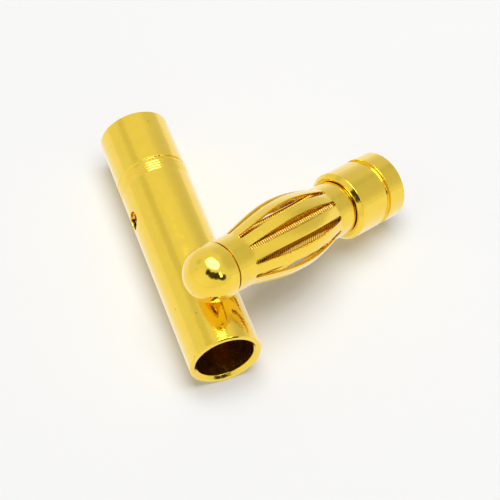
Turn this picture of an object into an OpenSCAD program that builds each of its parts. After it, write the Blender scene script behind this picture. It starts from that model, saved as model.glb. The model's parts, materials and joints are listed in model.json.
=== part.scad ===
// Bullet connector, both halves: a turned socket tube that lies on a surface, and a plug
// whose nose leans on it. The plug is a turned pin that carries a rolled and slotted spring cage.
// Origin: centre of the socket's mouth. +Y runs along the socket to its solder end, +Z is up.
// The surface that both halves lie on is at z = -socket_od / 2.

/* [Socket tube] */
// Outer diameter of the tube
socket_od = 5.0; // [4.8:0.1:8]
// Length of the tube
socket_len = 20.0; // [17:0.1:40]
// Diameter of the contact bore that takes the plug
contact_bore_d = 4.0; // [2.5:0.1:4.4]
// Diameter of the solder cup that takes the wire
socket_cup_d = 4.0; // [2:0.1:4.4]
// Depth of the solder cup, without its drill point
socket_cup_depth = 3.8; // [2:0.1:5]
// Solid metal between the walls of the two bores, drill points included
socket_web = 3.0; // [2.8:0.1:6]
// Chamfer inside the mouth of each bore
bore_chamfer = 0.2; // [0:0.01:0.28]
// Chamfer on outer edges of turned ends
edge_break = 0.08; // [0.01:0.01:0.2]
// Diameter of the vent hole in the side
vent_d = 1.25; // [0.5:0.05:2]
// Distance from the centre of the vent hole to the end of the contact bore's wall
vent_from_bottom = 0.75; // [0.3:0.05:4]
// Direction of the vent hole, turned from straight up towards -X
vent_turn = 79; // [0:1:180]

/* [Socket marks] */
// Distance from the solder end to the middle of the turned groove
socket_groove_at = 4.25; // [1:0.05:8]
// Width of the turned groove
socket_groove_w = 0.22; // [0.1:0.01:0.6]
// Depth of the turned groove
socket_groove_depth = 0.08; // [0.02:0.01:0.15]
// Number of fine turned lines in front of the groove
line_count = 4; // [0:1:6]
// Spacing of the fine turned lines
line_pitch = 0.21; // [0.15:0.01:0.5]
// Distance from the groove to the first fine line
line_gap = 0.34; // [0.25:0.01:1]
// Depth of the fine turned lines
line_depth = 0.03; // [0.01:0.01:0.08]

/* [Plug pin] */
// Diameter of the domed head
head_d = 3.9; // [3.85:0.01:6]
// Length of the straight part behind the dome
head_straight = 0.73; // [0.2:0.01:3]
// Diameter of the core inside the cage
core_d = 3.3; // [2.4:0.05:3.35]
// Length of the core between the head and the shoulder
core_len = 11.27; // [9:0.01:20]
// Spacing of the turned ridges on the core
ridge_pitch = 0.19; // [0.15:0.01:1]
// Depth of the turned ridges
ridge_depth = 0.08; // [0.01:0.01:0.2]
// Diameter of the rear body
body_d = 4.84; // [4.6:0.01:8]
// Length of the rear body
body_len = 4.55; // [3.5:0.01:10]
// Chamfer on the shoulder that stops the cage
shoulder_chamfer = 0.26; // [0.05:0.01:0.35]
// Diameter of the plug's solder cup
plug_cup_d = 4.0; // [2:0.1:4.3]
// Depth of the plug's solder cup, without its drill point
plug_cup_depth = 3.4; // [1.5:0.1:3.4]
// Distance from the rear end to the near side of the body groove
body_groove_at = 1.45; // [0.5:0.01:2.5]
// Width of the body groove
body_groove_w = 0.56; // [0.2:0.01:0.9]
// Depth of the body groove
body_groove_depth = 0.2; // [0.05:0.01:0.25]

/* [Spring cage] */
// Thickness of the strip that the cage is rolled from
strip_t = 0.2; // [0.1:0.01:0.25]
// Number of bars
bar_count = 11; // [10:1:13]
// Width of each bar
bar_w = 0.76; // [0.65:0.01:0.8]
// Length of the closed ring at the front
front_ring = 1.51; // [0.5:0.01:2.5]
// Length of the closed ring at the rear
rear_ring = 1.38; // [0.5:0.01:2.5]
// How far each slot runs into the rings
slot_bite = 0.06; // [0.02:0.01:0.2]
// Rise of the bars above a straight line between the rings
bar_rise = 0.68; // [0.2:0.01:1.2]
// Where the rise is greatest, as a share of the slot's length from the front
rise_peak = 0.54; // [0.4:0.01:0.6]
// Radial room between the core and the front ring
front_fit = 0.02; // [0.01:0.01:0.05]
// Radial room between the core and the rear ring, which slides when the cage is squeezed
rear_fit = 0.08; // [0.01:0.01:0.2]
// Room at each end of the cage, to the head and to the shoulder
end_play = 0.12; // [0.02:0.01:0.3]
// Chamfer on the outer edges of the rings
ring_edge = 0.05; // [0.01:0.01:0.08]
// Width of the seam where the two ends of the strip meet
seam_w = 0.12; // [0.02:0.01:0.25]
// Roll of the cage about the pin: the first slot's angle from the top
cage_roll = -9.9; // [-180:0.1:180]
// Which slot the seam runs through
seam_slot = 6; // [0:1:6]

/* [Resting pose] */
// Direction of the plug's rear end, seen from above, turned from +X towards +Y
plug_turn = 23.9; // [0:0.1:40]
// Centre of the dome, along the socket from its mouth
nose_along = 3.87; // [2:0.01:12]
// Centre of the dome, across the socket's axis
nose_across = 0.36; // [-0.5:0.01:1]
// Gap where the head meets the tube
touch_gap = 0.01; // [0:0.005:0.05]

/* [Hidden] */
gold = [0.86, 0.71, 0.26];
spring_gold = [0.90, 0.77, 0.34];
bore_gold = [0.80, 0.62, 0.20];
$fn = 96;

drill_point = 59;           // half the angle of a drill's point
cut = 0.05;                 // how far a cutter runs past the face that it cuts
socket_r = socket_od / 2;
contact_depth = socket_len - socket_cup_depth - socket_web;

// Stations along the plug, from the centre of the dome towards the rear.
head_r = head_d / 2;
core_r = core_d / 2;
body_r = body_d / 2;
cage_z0 = head_straight + end_play;
slot_z0 = cage_z0 + front_ring;
shoulder_z = head_straight + core_len;
cage_z1 = shoulder_z - end_play;
slot_z1 = cage_z1 - rear_ring;
rear_z = shoulder_z + body_len;

// Outer radii of the cage's rings, and the curve of its bars.
front_r = core_r + front_fit + strip_t;
rear_r = core_r + rear_fit + strip_t;
rise_power = ln(0.5) / ln(rise_peak);
bar_steps = 24;
slot_steps = 12;

// Radii between which the cage's cutters run
cutter_r = core_r - strip_t;
cage_reach = rear_r + bar_rise + cut;

// Outer radius of the cage at a share u of the slot's length, 0 at the front and 1 at the rear
function bar_r(u) = front_r + (rear_r - front_r) * u + bar_rise * sin(180 * pow(u, rise_power));

// Outer radius of the cage at station z
function cage_r(z) = bar_r(min(max((z - slot_z0) / (slot_z1 - slot_z0), 0), 1));

// Half the width of a slot at station z: what the bars leave of the circle
function slot_half(z) = (2 * PI * cage_r(z) / bar_count - bar_w) / 2;

// Height of a drill's point
function point_h(d) = d / 2 / tan(drill_point);

// Resting pose. The plug's frame has its origin at the centre of the dome and +Z towards its
// rear. A point lies at station z and radius r, turned by a from the plug's upper side.
function plug_point(tilt, z, r, a) =
    let (across = r * sin(a), up = r * cos(a), out = z * cos(tilt) + up * sin(tilt))
    [out * cos(plug_turn) + across * sin(plug_turn),
     out * sin(plug_turn) - across * cos(plug_turn),
     up * cos(tilt) - z * sin(tilt)];

// Height of the dome's centre at which a point of the plug would touch the tube
function lift_of(p) =
    let (x = nose_across + p[0])
    abs(x) < socket_r ? sqrt(socket_r * socket_r - x * x) - p[2] : -socket_r;

// The same for a whole ring of the plug, of which only the lower side can touch
function ring_lift(tilt, z, r) = max([for (a = [110:5:250]) lift_of(plug_point(tilt, z, r, a))]);

// Height of the dome's centre with the head, or whatever else reaches lowest, on the tube
function nose_height(tilt) = touch_gap + max(concat(
    [sqrt(pow(socket_r + head_r, 2) - nose_across * nose_across)],
    [ring_lift(tilt, head_straight - edge_break, head_r)],
    [for (k = [0:6]) let (z = cage_z0 + (slot_z1 - cage_z0) * k / 6) ring_lift(tilt, z, cage_r(z))]));

// Height of the rear rim's lowest point above the surface, at a tilt
function rear_height(tilt) =
    nose_height(tilt) - (rear_z - edge_break) * sin(tilt) - body_r * cos(tilt) + socket_r;

// The tilt at which the rear rim reaches the surface, by halving
function rest_tilt(low, high, n) =
    let (mid = (low + high) / 2)
    n == 0 ? mid : rear_height(mid) > 0 ? rest_tilt(mid, high, n - 1) : rest_tilt(low, mid, n - 1);

plug_tilt = rest_tilt(0, 45, 24);
nose_z = nose_height(plug_tilt);

// Puts a piece of the plug where it rests.
module place_plug()
{
    translate([nose_across, nose_along, nose_z])
        rotate([0, 0, plug_turn])
            rotate([0, 90 + plug_tilt, 0])
                children();
}

// A blind bore that opens at z = 0 and runs to -z, with a chamfered mouth and a drill point
module blind_bore(d, depth)
{
    rotate_extrude()
        polygon([
            [0, cut],
            [d / 2 + bore_chamfer + cut, cut],
            [d / 2, -bore_chamfer],
            [d / 2, -depth],
            [0, -depth - point_h(d)]
        ]);
}

// A ring-shaped cutter with a V section, for turned grooves; z is its middle
module turned_line(r, z, w, depth)
{
    rotate_extrude()
        polygon([
            [r - depth, z],
            [r + cut, z - w / 2 * (1 + cut / depth)],
            [r + cut, z + w / 2 * (1 + cut / depth)]
        ]);
}

// The tube, turned from bar: contact bore, web and solder cup, with a vent hole in its side
module socket_tube()
{
    groove_y = socket_len - socket_groove_at;
    line_w = line_pitch * 0.6;
    color(gold)
        rotate([-90, 0, 0])
            difference() {
                rotate_extrude()
                    polygon([
                        [0, 0],
                        [socket_r - edge_break, 0],
                        [socket_r, edge_break],
                        [socket_r, groove_y - socket_groove_w / 2],
                        [socket_r - socket_groove_depth, groove_y - socket_groove_w / 4],
                        [socket_r - socket_groove_depth, groove_y + socket_groove_w / 4],
                        [socket_r, groove_y + socket_groove_w / 2],
                        [socket_r, socket_len - edge_break],
                        [socket_r - edge_break, socket_len],
                        [0, socket_len]
                    ]);
                rotate([180, 0, 0])
                    blind_bore(contact_bore_d, contact_depth);
                translate([0, 0, socket_len])
                    blind_bore(socket_cup_d, socket_cup_depth);
                translate([0, 0, contact_depth - vent_from_bottom])
                    rotate([0, 0, -vent_turn])
                        rotate([90, 0, 0])
                            cylinder(d = vent_d, h = socket_r + cut);
                for (i = [0:1:line_count - 1])
                    turned_line(socket_r, groove_y - line_gap - i * line_pitch, line_w, line_depth);
            }
}

// The pin, turned in one piece: domed head, ridged core, shoulder and grooved solder cup
module plug_pin()
{
    ridge_count = floor((slot_z1 - slot_z0) / ridge_pitch) + 2;
    ridge_z0 = (slot_z0 + slot_z1 - ridge_count * ridge_pitch) / 2;
    groove_z1 = rear_z - body_groove_at;
    groove_z0 = groove_z1 - body_groove_w;
    core = [for (i = [0:ridge_count - 1], half = [0, 0.5])
        [core_r - 2 * half * ridge_depth, ridge_z0 + (i + half) * ridge_pitch]];
    color(bore_gold)
        place_plug()
            difference() {
                rotate_extrude()
                    union() {
                        intersection() {
                            circle(head_r);
                            translate([0, -head_r])
                                square(head_r);
                        }
                        polygon(concat(
                            [
                                [0, 0],
                                [head_r, 0],
                                [head_r, head_straight - edge_break],
                                [head_r - edge_break, head_straight],
                                [core_r, head_straight]
                            ],
                            core,
                            [
                                [core_r, ridge_z0 + ridge_count * ridge_pitch],
                                [core_r, shoulder_z],
                                [body_r - shoulder_chamfer, shoulder_z],
                                [body_r, shoulder_z + shoulder_chamfer],
                                [body_r, groove_z0],
                                [body_r - body_groove_depth, groove_z0 + body_groove_depth / 4],
                                [body_r - body_groove_depth, groove_z1 - body_groove_depth / 4],
                                [body_r, groove_z1],
                                [body_r, rear_z - edge_break],
                                [body_r - edge_break, rear_z],
                                [0, rear_z]
                            ]
                        ));
                    }
                translate([0, 0, rear_z])
                    blind_bore(plug_cup_d, plug_cup_depth);
            }
}

// One slot, as a cutter that points along +X: round ends, and sides that leave equal bars.
// It starts inside the strip but clear of the axis, so that no cutter meets its neighbour.
module slot()
{
    front_half = slot_half(slot_z0);
    rear_half = slot_half(slot_z1);
    z0 = slot_z0 + front_half - slot_bite;
    z1 = slot_z1 - rear_half + slot_bite;
    side = [for (k = [1:slot_steps - 1]) let (z = z0 + (z1 - z0) * k / slot_steps) [z, slot_half(z)]];
    other_side = [for (k = [len(side) - 1:-1:0]) [side[k][0], -side[k][1]]];
    translate([cutter_r, 0, 0])
        rotate([0, -90, 180])
            linear_extrude(cage_reach - cutter_r)
                union() {
                    polygon(concat(
                        [[z0, front_half]],
                        side,
                        [[z1, rear_half], [z1, -rear_half]],
                        other_side,
                        [[z0, -front_half]]
                    ));
                    translate([z0, 0])
                        circle(front_half, $fn = 24);
                    translate([z1, 0])
                        circle(rear_half, $fn = 24);
                }
}

// The cage, rolled from a punched strip: two rings joined by bars that bow outwards, with a
// seam on the side that faces down. It sits loosely round the core, between head and shoulder.
module spring_cage()
{
    bars = [for (k = [1:bar_steps - 1]) let (u = k / bar_steps)
        [bar_r(u), slot_z0 + (slot_z1 - slot_z0) * u]];
    outer = concat([[front_r, slot_z0]], bars, [[rear_r, slot_z1]]);
    inner = [for (k = [len(outer) - 1:-1:0]) [outer[k][0] - strip_t, outer[k][1]]];
    color(spring_gold)
        place_plug()
            rotate([0, 0, 180 + cage_roll])
                difference() {
                    rotate_extrude()
                        polygon(concat(
                            [
                                [front_r - strip_t, cage_z0],
                                [front_r - ring_edge, cage_z0],
                                [front_r, cage_z0 + ring_edge]
                            ],
                            outer,
                            [
                                [rear_r, cage_z1 - ring_edge],
                                [rear_r - ring_edge, cage_z1],
                                [rear_r - strip_t, cage_z1]
                            ],
                            inner
                        ));
                    for (i = [0:bar_count - 1])
                        rotate([0, 0, 360 / bar_count * i])
                            slot();
                    rotate([0, 0, 360 / bar_count * seam_slot])
                        translate([cutter_r, -seam_w / 2, cage_z0 - cut])
                            cube([cage_reach - cutter_r, seam_w, cage_z1 - cage_z0 + 2 * cut]);
                }
}

socket_tube();
plug_pin();
spring_cage();
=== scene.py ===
"""Bullet connector for battery leads, both halves: a turned socket tube that lies on a pale
table, and a plug whose domed head leans on it. The plug is a turned pin that carries a spring
cage rolled from slotted strip. All three pieces are gold plated.

The shapes are built here in millimetres, in each piece's own turning frame, and are then put
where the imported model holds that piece."""

import json
import math

import bpy
from mathutils import Matrix, Vector


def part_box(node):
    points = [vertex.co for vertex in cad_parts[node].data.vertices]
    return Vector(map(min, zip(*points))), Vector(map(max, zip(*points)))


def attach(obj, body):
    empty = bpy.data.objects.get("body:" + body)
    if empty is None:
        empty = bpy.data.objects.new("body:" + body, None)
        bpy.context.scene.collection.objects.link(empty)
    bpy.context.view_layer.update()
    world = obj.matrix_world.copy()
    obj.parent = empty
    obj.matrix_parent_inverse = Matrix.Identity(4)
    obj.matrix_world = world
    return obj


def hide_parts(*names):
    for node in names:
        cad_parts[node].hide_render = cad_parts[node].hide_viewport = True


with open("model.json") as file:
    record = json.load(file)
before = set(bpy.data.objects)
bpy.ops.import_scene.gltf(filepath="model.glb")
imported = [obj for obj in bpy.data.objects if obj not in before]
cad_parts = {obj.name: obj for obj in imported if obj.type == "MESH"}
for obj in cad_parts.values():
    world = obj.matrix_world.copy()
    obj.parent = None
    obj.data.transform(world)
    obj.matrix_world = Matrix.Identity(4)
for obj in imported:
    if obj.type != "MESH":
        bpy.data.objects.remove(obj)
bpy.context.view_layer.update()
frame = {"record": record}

MM = 0.001
mounts = {mount["name"]: mount for mount in frame["record"]["mounts"]}

# ---------------------------------------------------------------- sizes, in millimetres
# Socket tube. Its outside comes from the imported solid, its bores from the mounts.
tube_low, tube_high = (Vector(corner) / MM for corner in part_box("socket_tube"))
TUBE_R = (tube_high.x - tube_low.x) / 2
TUBE_LEN = tube_high.y - tube_low.y
TUBE_AXIS_X = (tube_high.x + tube_low.x) / 2
TUBE_AXIS_Z = (tube_high.z + tube_low.z) / 2
TABLE_Z = tube_low.z
BORE_R = mounts["socket_contact_bore"]["dims"]["r_mm"]
BORE_DEPTH = mounts["socket_contact_bore"]["dims"]["length_mm"]
SOCKET_CUP_R = mounts["socket_solder_cup"]["dims"]["r_mm"]
SOCKET_CUP_DEPTH = mounts["socket_solder_cup"]["dims"]["length_mm"]
BORE_CHAMFER = 0.2
EDGE_BREAK = 0.08
DRILL_POINT = math.radians(59)      # half the angle of the drill's point
VENT_R = 0.625
VENT_FROM_BOTTOM = 0.75             # from the bore's end to the vent's centre
VENT_EDGE = 0.05                    # the vent's broken outer edge
VENT_Z = BORE_DEPTH - VENT_FROM_BOTTOM
VENT_ANGLE = math.radians(-79)      # from the tube's top towards +X
TUBE_GROOVE_Z = TUBE_LEN - 4.25
TUBE_GROOVE_W = 0.22
TUBE_GROOVE_DEPTH = 0.08
LINE_COUNT = 4
LINE_PITCH = 0.21
LINE_GAP = 0.34
LINE_DEPTH = 0.03

# Plug. Its place, direction and length come from the mounts at its two ends.
nose_tip = Vector(mounts["plug_contact"]["pos_m"]) / MM
plug_rear = Vector(mounts["plug_solder_cup"]["pos_m"]) / MM
PLUG_LEN = (plug_rear - nose_tip).length
PLUG_CUP_R = mounts["plug_solder_cup"]["dims"]["r_mm"]
PLUG_CUP_DEPTH = mounts["plug_solder_cup"]["dims"]["length_mm"]
HEAD_R = 1.95
HEAD_STRAIGHT = 0.73
CORE_R = 1.65
RIDGE_PITCH = 0.19
RIDGE_DEPTH = 0.08
RIDGE_ROWS = 8                      # rows of faces to each ridge
BODY_R = 2.42
BODY_LEN = 4.55
SHOULDER_CHAMFER = 0.26
BODY_GROOVE_AT = 1.45               # from the rear end to the groove
BODY_GROOVE_W = 0.56
BODY_GROOVE_DEPTH = 0.2
REAR_Z = PLUG_LEN - HEAD_R          # stations count from the dome's centre
SHOULDER_Z = REAR_Z - BODY_LEN

# Spring cage
STRIP_T = 0.2
BAR_COUNT = 11
BAR_W = 0.76
BAR_RISE = 0.68
RISE_PEAK = 0.54
END_PLAY = 0.12
FRONT_FIT = 0.02                    # radial room between the core and each ring
REAR_FIT = 0.08
FRONT_RING = 1.51
REAR_RING = 1.38
SLOT_BITE = 0.06                    # how far each slot runs into the rings
SEAM_W = 0.12
SEAM_SLOT = 6
CAGE_ROLL = math.radians(-9.9)
FRONT_R = CORE_R + FRONT_FIT + STRIP_T
REAR_R = CORE_R + REAR_FIT + STRIP_T
CAGE_Z0 = HEAD_STRAIGHT + END_PLAY
CAGE_Z1 = SHOULDER_Z - END_PLAY
SLOT_Z0 = CAGE_Z0 + FRONT_RING
SLOT_Z1 = CAGE_Z1 - REAR_RING


# ---------------------------------------------------------------- turning frames
def turning_frame(origin, axis):
    """A frame with +Z along the axis, +X on the piece's upper side; millimetres to metres."""
    side = axis.cross(Vector((0, 0, 1))).normalized()
    top = side.cross(axis)
    turned = Matrix((top, side, axis)).transposed().to_4x4()
    return Matrix.Diagonal((MM, MM, MM, 1)) @ Matrix.Translation(origin) @ turned


plug_axis = (plug_rear - nose_tip).normalized()
plug_frame = turning_frame(nose_tip + plug_axis * HEAD_R, plug_axis)
tube_frame = turning_frame(Vector((TUBE_AXIS_X, tube_low.y, TUBE_AXIS_Z)), Vector((0, 1, 0)))


# ---------------------------------------------------------------- outlines
def rounded(corners, steps=5):
    """Turns corners (r, z) or (r, z, fillet) into an outline with true arcs at the fillets."""
    points = []
    for i, corner in enumerate(corners):
        here = Vector(corner[:2])
        fillet = corner[2] if len(corner) > 2 else 0
        if not fillet:
            points.append(here)
            continue
        back = (Vector(corners[i - 1][:2]) - here).normalized()
        ahead = (Vector(corners[i + 1][:2]) - here).normalized()
        half = back.angle(ahead) / 2
        centre = here + (back + ahead).normalized() * fillet / math.sin(half)
        first = (here + back * fillet / math.tan(half) - centre).normalized()
        last = (here + ahead * fillet / math.tan(half) - centre).normalized()
        for k in range(steps + 1):
            points.append(centre + first.slerp(last, k / steps) * fillet)
    return points


def spread(points, step, guard=0.03):
    """Adds rows to an outline: at most a step apart, with one close to each end of a long run."""
    rows = [points[0]]
    for a, b in zip(points, points[1:]):
        length = (b - a).length
        if length > 4 * guard:
            count = max(1, round((length - 2 * guard) / step))
            marks = [guard + (length - 2 * guard) * k / count for k in range(count + 1)]
            rows.extend(a.lerp(b, mark / length) for mark in marks)
        rows.append(b)
    return rows


def drill_point(r):
    """Height of the cone that a drill of radius r leaves."""
    return r / math.tan(DRILL_POINT)


def turned_line(r, z, width, depth):
    """Corners of a shallow V-section line on a cylinder."""
    return [(r, z - width / 2, 0.02), (r - depth, z, 0.02), (r, z + width / 2, 0.02)]


# ---------------------------------------------------------------- meshes
def new_piece(name, verts, faces, place, materials, face_slots=None):
    """Makes a smooth-shaded mesh object whose place is in its vertices."""
    mesh = bpy.data.meshes.new(name)
    mesh.from_pydata([place @ Vector(v) for v in verts], [], faces)
    for material in materials:
        mesh.materials.append(material)
    mesh.polygons.foreach_set("use_smooth", [True] * len(faces))
    if face_slots:
        mesh.polygons.foreach_set("material_index", face_slots)
    mesh.validate()
    mesh.update()
    piece = bpy.data.objects.new(name, mesh)
    bpy.context.scene.collection.objects.link(piece)
    return piece


def revolve(rows, columns):
    """Grid of points and quads of a solid of revolution whose outline runs from pole to pole."""
    verts = [(0, 0, rows[0].y)]
    for row in rows[1:-1]:
        for j in range(columns):
            angle = 2 * math.pi * j / columns
            verts.append((row.x * math.cos(angle), row.x * math.sin(angle), row.y))
    verts.append((0, 0, rows[-1].y))
    last = len(verts) - 1
    rings = len(rows) - 2
    faces, face_rows = [], []
    for j in range(columns):
        k = (j + 1) % columns
        faces.append((0, 1 + k, 1 + j))
        face_rows.append(0)
        for i in range(rings - 1):
            a, b = 1 + i * columns, 1 + (i + 1) * columns
            faces.append((a + j, a + k, b + k, b + j))
            face_rows.append(i + 1)
        a = 1 + (rings - 1) * columns
        faces.append((a + j, a + k, last))
        face_rows.append(rings)
    return verts, faces, face_rows


# ---------------------------------------------------------------- materials
def linear(hex_colour):
    """A sRGB hex colour as linear RGBA."""
    channels = [int(hex_colour[i:i + 2], 16) / 255 for i in (1, 3, 5)]
    return tuple(c / 12.92 if c <= 0.04045 else ((c + 0.055) / 1.055) ** 2.4 for c in channels) + (1,)


def add(tree, kind, inputs=(), **settings):
    """Adds a node. Inputs are pairs of a socket's name or number and a value or a link's source."""
    node = tree.nodes.new(kind)
    for name, value in settings.items():
        setattr(node, name, value)
    for name, value in inputs:
        if isinstance(value, bpy.types.NodeSocket):
            tree.links.new(value, node.inputs[name])
        else:
            node.inputs[name].default_value = value
    return node


def new_material(name):
    """An empty material with its output node."""
    material = bpy.data.materials.new(name)
    material.use_nodes = True
    material.node_tree.nodes.clear()
    return material, material.node_tree, add(material.node_tree, "ShaderNodeOutputMaterial")


BRIGHT_GOLD = "#FBD738"
DEEP_GOLD = "#F3CC2C"
PINHOLE = "#5A3C08"


def gold_plate(name, bright, deep, roughness, peel, pits):
    """Gold plate over metal: bright, slightly mottled by the plating's orange peel, with a few
    pinholes. The clear coat stands in for the pale sheen at glancing angles, and for no known film."""
    material, tree, output = new_material(name)
    place = add(tree, "ShaderNodeTexCoord")
    in_mm = add(tree, "ShaderNodeVectorMath", [(0, place.outputs["Object"]), (1, (1 / MM,) * 3)],
                operation="MULTIPLY")
    clouds = add(tree, "ShaderNodeTexNoise", [("Vector", in_mm.outputs[0]), ("Scale", 0.9),
                                              ("Detail", 3.0), ("Roughness", 0.6)])
    grains = add(tree, "ShaderNodeTexNoise", [("Vector", in_mm.outputs[0]), ("Scale", 3.4),
                                              ("Detail", 2.0), ("Roughness", 0.55)])
    cells = add(tree, "ShaderNodeTexVoronoi", [("Vector", in_mm.outputs[0]), ("Scale", 1.1)],
                feature="F1")
    pit = add(tree, "ShaderNodeMapRange", [("Value", cells.outputs["Distance"]), ("From Min", 0.03),
                                           ("From Max", 0.09), ("To Min", pits), ("To Max", 0.0)],
              interpolation_type="SMOOTHSTEP")
    # a Mix node's two colours are its inputs 6 and 7, and its mixed colour is output 2
    tone = add(tree, "ShaderNodeMix", [("Factor", clouds.outputs["Fac"]), (6, linear(bright)),
                                       (7, linear(deep))], data_type="RGBA")
    colour = add(tree, "ShaderNodeMix", [("Factor", pit.outputs[0]), (6, tone.outputs[2]),
                                         (7, linear(PINHOLE))], data_type="RGBA")
    rough = add(tree, "ShaderNodeMapRange", [("Value", grains.outputs["Fac"]), ("From Min", 0.3),
                                             ("From Max", 0.7), ("To Min", roughness * 0.7),
                                             ("To Max", roughness * 1.3)])
    peel_bump = add(tree, "ShaderNodeBump", [("Height", grains.outputs["Fac"]),
                                             ("Strength", peel), ("Distance", 0.02 * MM)])
    pit_bump = add(tree, "ShaderNodeBump", [("Height", pit.outputs[0]), ("Strength", 0.5),
                                            ("Distance", 0.02 * MM),
                                            ("Normal", peel_bump.outputs[0])], invert=True)
    shader = add(tree, "ShaderNodeBsdfPrincipled", [
        ("Base Color", colour.outputs[2]), ("Metallic", 1.0), ("Roughness", rough.outputs[0]),
        ("Normal", pit_bump.outputs[0]), ("Coat Weight", 1.0), ("Coat Roughness", 0.05),
        ("Coat IOR", 1.5)])
    tree.links.new(shader.outputs[0], output.inputs[0])
    return material


# the tube: bright, with the most orange peel, so that its long reflections waver
tube_gold = gold_plate("gold_plate_turned_tube", BRIGHT_GOLD, DEEP_GOLD, 0.13, 0.6, 0.6)
# the pin: the smoothest, so that the dome mirrors the room
pin_gold = gold_plate("gold_plate_turned_pin", BRIGHT_GOLD, DEEP_GOLD, 0.10, 0.4, 0.7)
# the spring strip: between those two in its shine, with the fewest pinholes of the three
spring_gold = gold_plate("gold_plate_spring_strip", BRIGHT_GOLD, DEEP_GOLD, 0.12, 0.5, 0.4)
# drilled bores: the rougher, more orange gold that keeps their insides warm and dark
bore_gold = gold_plate("gold_plate_drilled_bore", "#FBD050", "#F0C040", 0.22, 0.5, 0.0)
# roots of the core's ridges: a dark, dull gold painted into the roots as shade, so that the fine ridges
# can be told apart
ridge_root_painted_shade = gold_plate("ridge_roots_painted_shade", "#B07A18", "#94620E", 0.35, 0.5, 0.0)


# ---------------------------------------------------------------- socket tube
def socket_tube():
    """The turned tube, with a real vent hole through its wall."""
    columns = 192
    cell = 2 * math.pi * TUBE_R / columns
    hole_cells, outer_cells, inner_cells = 6, 14, 8
    outer_rows = [(TUBE_R, VENT_Z + k * cell) for k in range(-outer_cells, outer_cells + 1)]
    inner_rows = [(BORE_R, VENT_Z - k * cell) for k in range(-inner_cells, inner_cells + 1)]
    first_line = TUBE_GROOVE_Z - LINE_GAP
    lines = [corner for i in reversed(range(LINE_COUNT))
             for corner in turned_line(TUBE_R, first_line - i * LINE_PITCH, LINE_PITCH * 0.6, LINE_DEPTH)]
    groove_r = TUBE_R - TUBE_GROOVE_DEPTH
    corners = [(0, BORE_DEPTH + drill_point(BORE_R)), (BORE_R, BORE_DEPTH, 0.05)]
    corners += inner_rows
    corners += [(BORE_R, BORE_CHAMFER, 0.04), (BORE_R + BORE_CHAMFER, 0, 0.05),
                (TUBE_R - EDGE_BREAK, 0, 0.03), (TUBE_R, EDGE_BREAK, 0.03)]
    corners += outer_rows + lines
    corners += [(TUBE_R, TUBE_GROOVE_Z - TUBE_GROOVE_W / 2, 0.02),
                (groove_r, TUBE_GROOVE_Z - TUBE_GROOVE_W / 4, 0.02),
                (groove_r, TUBE_GROOVE_Z + TUBE_GROOVE_W / 4, 0.02),
                (TUBE_R, TUBE_GROOVE_Z + TUBE_GROOVE_W / 2, 0.02),
                (TUBE_R, TUBE_LEN - EDGE_BREAK, 0.03), (TUBE_R - EDGE_BREAK, TUBE_LEN, 0.03),
                (SOCKET_CUP_R + BORE_CHAMFER, TUBE_LEN, 0.05),
                (SOCKET_CUP_R, TUBE_LEN - BORE_CHAMFER, 0.04),
                (SOCKET_CUP_R, TUBE_LEN - SOCKET_CUP_DEPTH, 0.05),
                (0, TUBE_LEN - SOCKET_CUP_DEPTH - drill_point(SOCKET_CUP_R))]
    rows = spread(rounded(corners), 0.3)
    verts, faces, face_rows = revolve(rows, columns)

    def row_at(r, z):
        return min(range(len(rows)), key=lambda i: abs(rows[i].x - r) + abs(rows[i].y - z))

    middle = {+1: row_at(TUBE_R, VENT_Z), -1: row_at(BORE_R, VENT_Z)}
    radius = {+1: TUBE_R, -1: BORE_R}
    reach = {+1: outer_cells, -1: inner_cells}

    def index(side, p, q):
        """Vertex p columns round and q cells along from the hole's centre, outside or inside."""
        return 1 + (middle[side] + side * q - 1) * columns + p % columns

    def on_wall(side, y, z, sunk=0):
        return (math.sqrt(radius[side] ** 2 - y * y) - sunk, y, z)

    def around(n):
        """The cells round a square of half-size n, in order."""
        steps = range(-n, n)
        return ([(n, q) for q in steps] + [(-p, n) for p in steps]
                + [(-n, -q) for q in steps] + [(p, -n) for p in steps])

    rim = {+1: VENT_R + VENT_EDGE, -1: VENT_R}
    dropped = set()
    for side in (+1, -1):
        for n in range(hole_cells, reach[side] + 1):
            share = (n - hole_cells) / (reach[side] - hole_cells)
            ring_r = rim[side] + (reach[side] * cell - rim[side]) * share
            for p, q in around(n):
                turn = math.atan2(q, p) if abs(p) == abs(q) else square_angle(p, q, n)
                square = Vector((radius[side] * math.sin(2 * math.pi * p / columns), q * cell))
                circle = Vector((math.cos(turn), math.sin(turn))) * ring_r
                y, z = circle.lerp(square, share)
                verts[index(side, p, q)] = on_wall(side, y, VENT_Z + z)
        for p in range(-hole_cells + 1, hole_cells):
            dropped.update(index(side, p, q) for q in range(-hole_cells + 1, hole_cells))
    corner_cells = {index(side, p, q) for side in (+1, -1) for p, q in around(hole_cells)}
    kept = [i for i, face in enumerate(faces)
            if not dropped.intersection(face) and not corner_cells.issuperset(face)]
    faces = [faces[i] for i in kept]
    face_rows = [face_rows[i] for i in kept]

    # the wall of the vent hole, from its broken outer edge to the bore
    loop = around(hole_cells)
    rings = [[index(+1, p, q) for p, q in loop]]
    for sunk in (0.02, VENT_EDGE, 0.1, 0.3):
        grown = max(0.0, VENT_EDGE - sunk) ** 2 / VENT_EDGE
        ring = []
        for p, q in loop:
            turn = math.atan2(q, p) if abs(p) == abs(q) else square_angle(p, q, hole_cells)
            y, z = (VENT_R + grown) * math.cos(turn), (VENT_R + grown) * math.sin(turn)
            ring.append(len(verts))
            verts.append(on_wall(+1, y, VENT_Z + z, sunk))
        rings.append(ring)
    rings.append([index(-1, p, q) for p, q in loop])
    outer_faces = len(faces)
    for a, b in zip(rings, rings[1:]):
        for k in range(len(loop)):
            m = (k + 1) % len(loop)
            faces.append((a[k], a[m], b[m], b[k]))
    face_rows += [middle[+1]] * (len(faces) - outer_faces)

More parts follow.
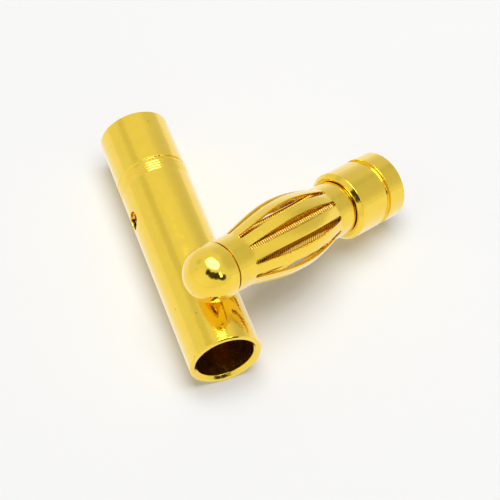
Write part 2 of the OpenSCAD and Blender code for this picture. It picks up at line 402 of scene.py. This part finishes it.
    inside = row_at(BORE_R, BORE_CHAMFER * 1.5)
    cup = row_at(SOCKET_CUP_R, TUBE_LEN - BORE_CHAMFER * 1.5)
    slots = [1 if row < inside or row > cup else 0 for row in face_rows]
    used = sorted({v for face in faces for v in face})
    renumber = {old: new for new, old in enumerate(used)}
    verts = [verts[v] for v in used]
    faces = [tuple(renumber[v] for v in face) for face in faces]
    place = tube_frame @ Matrix.Rotation(VENT_ANGLE, 4, "Z")
    return new_piece("socket_tube_shell", verts, faces, place, [tube_gold, bore_gold], slots)


def square_angle(p, q, n):
    """Angle that spreads the cells of a square's side evenly over a quarter turn."""
    quarter = math.pi / 4
    if p == n:
        return quarter * q / n
    if q == n:
        return 2 * quarter - quarter * p / n
    if p == -n:
        return 4 * quarter - quarter * q / n
    return -2 * quarter + quarter * p / n


# ---------------------------------------------------------------- plug pin
def plug_pin():
    """Domed head, ridged core, shoulder and grooved solder cup, turned in one piece."""
    dome = [Vector((HEAD_R * math.sin(a), -HEAD_R * math.cos(a)))
            for a in (math.pi / 2 * k / 40 for k in range(40))]
    ridge_count = int((SLOT_Z1 - SLOT_Z0) / RIDGE_PITCH) + 2
    ridge_z0 = (SLOT_Z0 + SLOT_Z1 - ridge_count * RIDGE_PITCH) / 2
    ridges = []
    for i in range(ridge_count * RIDGE_ROWS):
        dip = 1 - abs(1 - i % RIDGE_ROWS / (RIDGE_ROWS / 2))
        ridges.append((CORE_R - RIDGE_DEPTH * dip, ridge_z0 + i * RIDGE_PITCH / RIDGE_ROWS))
    groove_z1 = REAR_Z - BODY_GROOVE_AT
    groove_z0 = groove_z1 - BODY_GROOVE_W
    floor_r = BODY_R - BODY_GROOVE_DEPTH
    slope = BODY_GROOVE_DEPTH / 4
    corners = [(HEAD_R, 0), (HEAD_R, HEAD_STRAIGHT - EDGE_BREAK, 0.03),
               (HEAD_R - EDGE_BREAK, HEAD_STRAIGHT, 0.03), (CORE_R, HEAD_STRAIGHT)]
    corners += ridges
    corners += [(CORE_R, ridge_z0 + ridge_count * RIDGE_PITCH),
                (CORE_R, SHOULDER_Z, 0.03),
                (BODY_R - SHOULDER_CHAMFER, SHOULDER_Z, 0.05),
                (BODY_R, SHOULDER_Z + SHOULDER_CHAMFER, 0.05),
                (BODY_R, groove_z0, 0.03),
                (floor_r, groove_z0 + slope, 0.04),
                (floor_r, groove_z1 - slope, 0.04),
                (BODY_R, groove_z1, 0.03),
                (BODY_R, REAR_Z - EDGE_BREAK, 0.03), (BODY_R - EDGE_BREAK, REAR_Z, 0.03),
                (PLUG_CUP_R + BORE_CHAMFER, REAR_Z, 0.04),
                (PLUG_CUP_R, REAR_Z - BORE_CHAMFER, 0.04),
                (PLUG_CUP_R, REAR_Z - PLUG_CUP_DEPTH, 0.05),
                (0, REAR_Z - PLUG_CUP_DEPTH - drill_point(PLUG_CUP_R))]
    rows = dome + spread(rounded(corners), 0.3)
    verts, faces, face_rows = revolve(rows, 160)
    cup = min(range(len(rows)), key=lambda i: abs(rows[i].x - PLUG_CUP_R)
              + abs(rows[i].y - (REAR_Z - BORE_CHAMFER * 1.5)))
    ridge_z1 = ridge_z0 + ridge_count * RIDGE_PITCH
    root_r = CORE_R - RIDGE_DEPTH * 0.5

    def finish_or_painted_shade_of(row):
        """The material of a row of faces: the cup's plating, the painted shade in the ridges' roots, or
        the plain plating.
        """
        if row > cup:
            return 1
        between = rows[row].lerp(rows[row + 1], 0.5)
        return 2 if ridge_z0 < between.y < ridge_z1 and between.x < root_r else 0

    slots = [finish_or_painted_shade_of(row) for row in face_rows]
    # the third material, slot 2, is painted shade in the ridges' roots
    return new_piece("plug_pin_turned", verts, faces, plug_frame,
                     [pin_gold, bore_gold, ridge_root_painted_shade], slots)


# ---------------------------------------------------------------- spring cage
def cage_r(z):
    """Outer radius of the cage at station z: rings joined by a smooth rise."""
    share = min(max((z - SLOT_Z0) / (SLOT_Z1 - SLOT_Z0), 0), 1)
    rise = BAR_RISE * math.sin(math.pi * share ** (math.log(0.5) / math.log(RISE_PEAK)))
    return FRONT_R + (REAR_R - FRONT_R) * share + rise


def slot_half(z):
    """Half the width of a slot at station z: what the bars leave of the circle."""
    return (2 * math.pi * cage_r(z) / BAR_COUNT - BAR_W) / 2


def spring_cage():
    """The strip as a sheet of quads, wrapped from one side of the seam to the other, then given
    its thickness. Columns follow the slots' edges, and rows end on their round ends."""
    slot_columns, bar_columns, ring_rows, bar_rows = 8, 8, 14, 64
    front_half, rear_half = slot_half(SLOT_Z0), slot_half(SLOT_Z1)
    z_front = SLOT_Z0 - SLOT_BITE
    z_rear = SLOT_Z1 + SLOT_BITE
    straight0, straight1 = z_front + front_half, z_rear - rear_half
    pitch = 2 * math.pi / BAR_COUNT

    # each column: its slot's or bar's number, its place across it, and whether it is a slot's
    columns = []
    for i in range(BAR_COUNT):
        start = slot_columns // 2 if i == 0 else 0
        for k in range(start, slot_columns):
            columns.append((i, math.sin(math.pi / 2 * (2 * k / slot_columns - 1)), True))
        columns.extend((i, k / bar_columns, False) for k in range(bar_columns))
    for k in range(slot_columns // 2 + 1):
        columns.append((BAR_COUNT, math.sin(math.pi / 2 * (2 * k / slot_columns - 1)), True))

    def angle(column, z):
        number, across, in_slot = columns[column]
        z = min(max(z, straight0), straight1)
        half = slot_half(z) / cage_r(z)
        centre = pitch * (number + SEAM_SLOT)
        if in_slot:
            turn = centre + half * across
        else:
            turn = centre + half + (pitch - 2 * half) * across
        if column == 0:
            turn += SEAM_W / 2 / FRONT_R
        if column == len(columns) - 1:
            turn -= SEAM_W / 2 / FRONT_R
        return turn + CAGE_ROLL

    def end_of(column, straight, half, outwards):
        """Where a column meets the slot: on its round end, or level with the round's middle."""
        _, across, in_slot = columns[column]
        bow = math.sqrt(max(0, 1 - across * across)) if in_slot else 0
        return straight + outwards * half * bow

    verts, keys = [], {}

    def vertex(zone, row, column):
        key = (zone, row, column)
        if zone == "bar" and row == 0:
            key = ("front", ring_rows, column)
        if zone == "bar" and row == bar_rows:
            key = ("rear", 0, column)
        if key not in keys:
            if key[0] == "front":
                end = end_of(column, straight0, front_half, -1)
                z = CAGE_Z0 + (end - CAGE_Z0) * key[1] / ring_rows
            elif key[0] == "rear":
                end = end_of(column, straight1, rear_half, +1)
                z = end + (CAGE_Z1 - end) * key[1] / ring_rows
            else:
                z = straight0 + (straight1 - straight0) * key[1] / bar_rows
            turn, r = angle(column, z), cage_r(z)
            keys[key] = len(verts)
            verts.append((r * math.cos(turn), r * math.sin(turn), z))
        return keys[key]

    faces = []
    for column in range(len(columns) - 1):
        zones = [("front", ring_rows), ("rear", ring_rows)]
        if not columns[column][2]:
            zones.append(("bar", bar_rows))
        for zone, count in zones:
            for row in range(count):
                faces.append((vertex(zone, row, column), vertex(zone, row, column + 1),
                              vertex(zone, row + 1, column + 1), vertex(zone, row + 1, column)))

    # the inner face, and the cut edges that join the two
    outer_count = len(verts)
    for x, y, z in verts[:outer_count]:
        shrink = 1 - STRIP_T / math.hypot(x, y)
        verts.append((x * shrink, y * shrink, z))
    borders = dict.fromkeys((a, b) for face in faces for a, b in zip(face, face[1:] + face[:1]))
    edges = [(a, b) for a, b in borders if (b, a) not in borders]
    sheet = list(faces)
    faces += [tuple(v + outer_count for v in reversed(face)) for face in sheet]
    faces += [(b, a, a + outer_count, b + outer_count) for a, b in edges]

    piece = new_piece("spring_cage_strip", verts, faces, plug_frame, [spring_gold])
    bevel = piece.modifiers.new("broken_edges", "BEVEL")
    bevel.width = 0.03 * MM
    bevel.segments = 2
    bevel.limit_method = "ANGLE"
    bevel.angle_limit = math.radians(50)
    bevel.harden_normals = False
    return piece


tube = socket_tube()
pin = plug_pin()
cage = spring_cage()
for piece, node, slot in ((tube, "socket_tube", "socket"), (pin, "plug_pin", "plug"),
                          (cage, "spring_cage", "cage")):
    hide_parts(node)
    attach(piece, "root")


# ---------------------------------------------------------------- table and light
def table():
    """A wide matt white card under the connector."""
    material, tree, output = new_material("matt_white_card")
    place = add(tree, "ShaderNodeTexCoord")
    fibres = add(tree, "ShaderNodeTexNoise", [("Vector", place.outputs["Object"]), ("Scale", 900.0),
                                              ("Detail", 2.0)])
    bump = add(tree, "ShaderNodeBump", [("Height", fibres.outputs["Fac"]), ("Strength", 0.05),
                                        ("Distance", 0.02 * MM)])
    matt = add(tree, "ShaderNodeBsdfPrincipled", [("Base Color", linear("#F8F8F7")),
                                                  ("Roughness", 0.9), ("Normal", bump.outputs[0])])
    glow = add(tree, "ShaderNodeEmission", [("Color", linear("#FBFBFA")), ("Strength", 1.05)])
    rays = add(tree, "ShaderNodeLightPath")
    for_eye = add(tree, "ShaderNodeMath", [(0, rays.outputs["Is Camera Ray"]), (1, 0.12)],
                  operation="MULTIPLY")
    share = add(tree, "ShaderNodeMath", [(0, rays.outputs["Is Glossy Ray"]), (1, 0.75),
                                         (2, for_eye.outputs[0])], operation="MULTIPLY_ADD")
    shader = add(tree, "ShaderNodeMixShader", [(0, share.outputs[0]), (1, matt.outputs[0]),
                                               (2, glow.outputs[0])])
    tree.links.new(shader.outputs[0], output.inputs[0])
    half = 1.5
    mesh = bpy.data.meshes.new("table")
    z = TABLE_Z * MM
    mesh.from_pydata([(-half, -half, z), (half, -half, z), (half, half, z), (-half, half, z)],
                     [], [(0, 1, 2, 3)])
    mesh.materials.append(material)
    floor = bpy.data.objects.new("table", mesh)
    bpy.context.scene.collection.objects.link(floor)


def softbox(name, position, size, turn, strength):
    """An oval soft lamp that faces straight down. Strength is its brightness, 1 is white."""
    lamp = bpy.data.lights.new(name, "AREA")
    lamp.shape = "ELLIPSE"
    lamp.size, lamp.size_y = size
    lamp.energy = strength * math.pi * math.pi / 4 * size[0] * size[1]
    holder = bpy.data.objects.new(name, lamp)
    holder.location = position
    holder.rotation_euler = (0, 0, math.radians(turn))
    bpy.context.scene.collection.objects.link(holder)


def studio():
    """A pale room whose walls show in the metal. On one side a person stands, dark, with a small
    lit lamp beside them; the wall to the right is a little dimmer than the rest."""
    world = bpy.data.worlds.new("studio")
    bpy.context.scene.world = world
    world.use_nodes = True
    tree = world.node_tree
    tree.nodes.clear()
    output = add(tree, "ShaderNodeOutputWorld")
    direction = add(tree, "ShaderNodeTexCoord").outputs["Generated"]

    def patch(towards, inner, outer, level=1.0):
        """How far a direction lies inside a soft-edged round patch of the room, times its level."""
        unit = Vector(towards).normalized()
        dot = add(tree, "ShaderNodeVectorMath", [(0, direction), (1, unit)], operation="DOT_PRODUCT")
        return add(tree, "ShaderNodeMapRange", [
            ("Value", dot.outputs["Value"]), ("From Min", math.cos(math.radians(outer))),
            ("From Max", math.cos(math.radians(inner))), ("To Min", 0.0), ("To Max", level)],
            interpolation_type="SMOOTHSTEP").outputs[0]

    def combine(operation, start, parts):
        for part in parts:
            start = add(tree, "ShaderNodeMath", [(0, start), (1, part)], operation=operation).outputs[0]
        return start

    def blend(factor, a, b):
        return add(tree, "ShaderNodeMix", [(0, factor), (2, a), (3, b)], data_type="FLOAT").outputs[0]

    walls = combine("ADD", 0.88, [
        patch((0.90, 0.10, 0.42), 10, 34, -0.20),
        patch((-0.54, 0.54, 0.64), 3, 13, -0.16),
        patch((-0.80, -0.45, 0.30), 10, 50, 0.10),
        patch((0.62, 0.62, 0.30), 8, 30, -0.14)])
    figure = combine("MAXIMUM", 0.0, [
        patch((-0.35, -0.40, 0.85), 8, 13), patch((-0.18, -0.64, 0.75), 11, 16),
        patch((0.10, -0.74, 0.66), 11, 16), patch((0.33, -0.78, 0.53), 10, 14),
        patch((0.49, -0.78, 0.40), 9, 13)])
    small_lamp = combine("MAXIMUM", 0.0, [
        patch((0.375, -0.626, 0.683), 2.5, 4.5, 5.0), patch((0.402, -0.734, 0.547), 2.5, 4.5, 5.0)])
    room = combine("ADD", blend(figure, walls, 0.04), [small_lamp])
    rays = add(tree, "ShaderNodeLightPath")
    level = blend(rays.outputs["Is Glossy Ray"], 0.24, room)
    level = blend(rays.outputs["Is Camera Ray"], level, 1.0)
    background = add(tree, "ShaderNodeBackground", [("Color", (1, 1, 1, 1)), ("Strength", level)])
    tree.links.new(background.outputs[0], output.inputs[0])


table()
studio()
softbox("overhead_softbox", (0.052, 0.030, 0.5), (0.34, 0.50), 30, 5.3)


# ---------------------------------------------------------------- camera
def camera():
    """A long lens, looking down at the connector from in front of the socket's mouth."""
    azimuth, elevation, roll = (math.radians(a) for a in (-20.06, 54.71, 0.74))
    aim = Vector((5.04, 9.49, TABLE_Z)) * MM
    distance = 140.15 * MM
    back = Vector((math.sin(azimuth) * math.cos(elevation), -math.cos(azimuth) * math.cos(elevation),
                   math.sin(elevation)))
    right = Vector((math.cos(azimuth), math.sin(azimuth), 0))
    up = back.cross(right)
    right, up = (right * math.cos(roll) + up * math.sin(roll),
                 up * math.cos(roll) - right * math.sin(roll))
    lens = bpy.data.cameras.new("camera")
    lens.sensor_width = 36
    lens.lens = 144.6
    lens.clip_start = 0.01
    holder = bpy.data.objects.new("camera", lens)
    turned = Matrix((right, up, back)).transposed().to_4x4()
    holder.matrix_world = Matrix.Translation(aim + back * distance) @ turned
    bpy.context.scene.collection.objects.link(holder)
    bpy.context.scene.camera = holder


camera()
bpy.context.scene.view_settings.view_transform = "Standard"
